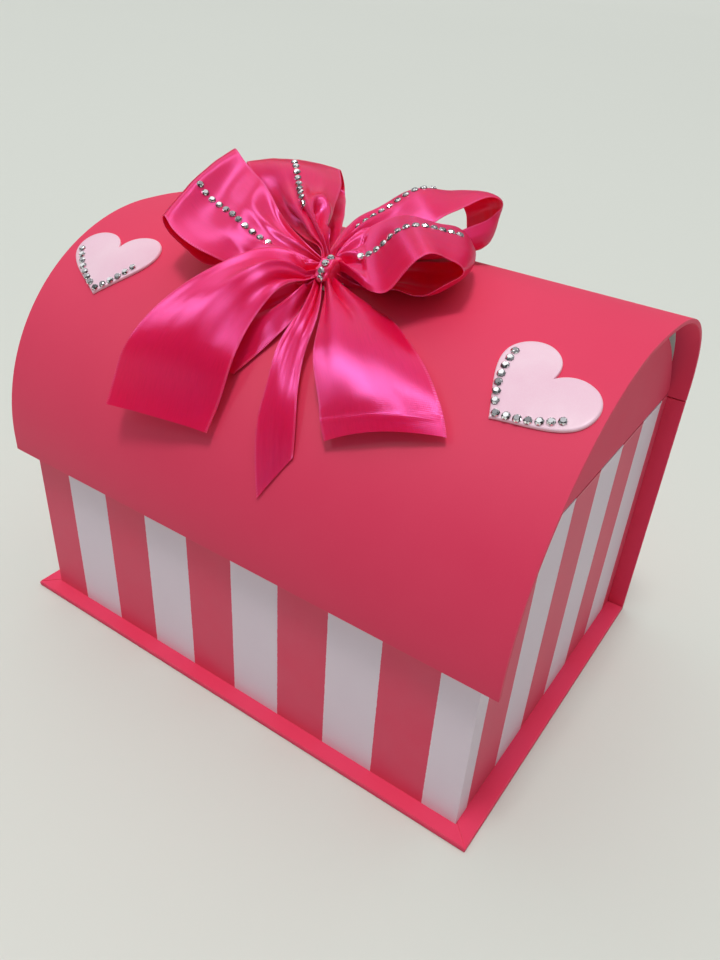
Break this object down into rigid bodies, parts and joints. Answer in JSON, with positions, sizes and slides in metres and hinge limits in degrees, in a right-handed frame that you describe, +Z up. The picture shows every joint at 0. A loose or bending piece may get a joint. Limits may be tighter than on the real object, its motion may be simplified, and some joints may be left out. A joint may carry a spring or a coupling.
{
  "type": "wedding card box",
  "caption": "Rigid card box with striped sides on a wider base board, a hinged arched lid with a front flap, a satin ribbon bow, card hearts and rhinestone rows",
  "frame": {"origin": "on the floor under the middle of the closed box", "axes": "+X to the box's right seen from the front, -Y to the front flap, +Z up"},
  "size_m": [0.304, 0.213, 0.2555],
  "materials": {
    "coral_paper": "smooth matt coral covering paper over board",
    "striped_paper": "matt paper with coral and white vertical stripes",
    "greyboard": "raw greyboard",
    "lining_paper": "matt white paper",
    "foam_pad": "white adhesive foam",
    "satin_ribbon": "hot pink satin",
    "pink_card": "pale pink satin-gloss card",
    "rhinestone": "faceted clear acrylic with a silver back"
  },
  "bodies": {
    "box": {"base_board": "coral_paper", "back_board": "coral_paper", "back_paper": "coral_paper", "stripe_wrap": "striped_paper", "tray_floor": "greyboard", "tray_front": "greyboard", "tray_rear": "greyboard", "tray_left": "greyboard", "tray_right": "greyboard", "tray_lining": "lining_paper"},
    "lid": {"lid_cover": "coral_paper", "lid_end_left": "coral_paper", "lid_end_right": "coral_paper", "lid_lining": "lining_paper", "bow_pad": "foam_pad", "bow_knot": "satin_ribbon", "bow_loop_left": "satin_ribbon", "bow_loop_back": "satin_ribbon", "bow_loop_right": "satin_ribbon", "bow_loop_front": "satin_ribbon", "tail_left": "satin_ribbon", "tail_under": "satin_ribbon", "tail_middle": "satin_ribbon", "tail_right": "satin_ribbon", "heart_left": "pink_card", "heart_right": "pink_card", "bow_loop_left_stones": "rhinestone", "bow_loop_back_stones": "rhinestone", "bow_loop_right_stones": "rhinestone", "bow_loop_front_stones": "rhinestone", "bow_knot_stones": "rhinestone", "heart_left_stones_left": "rhinestone", "heart_left_stones_right": "rhinestone", "heart_right_stones_left": "rhinestone", "heart_right_stones_right": "rhinestone"}
  },
  "joints": [
    {"name": "lid_hinge", "type": "hinge", "parent": "box", "child": "lid", "pos_m": [0, 0.1065, 0.1505], "axis": [-1, 0, 0], "range_deg": [0, 105]}
  ]
}
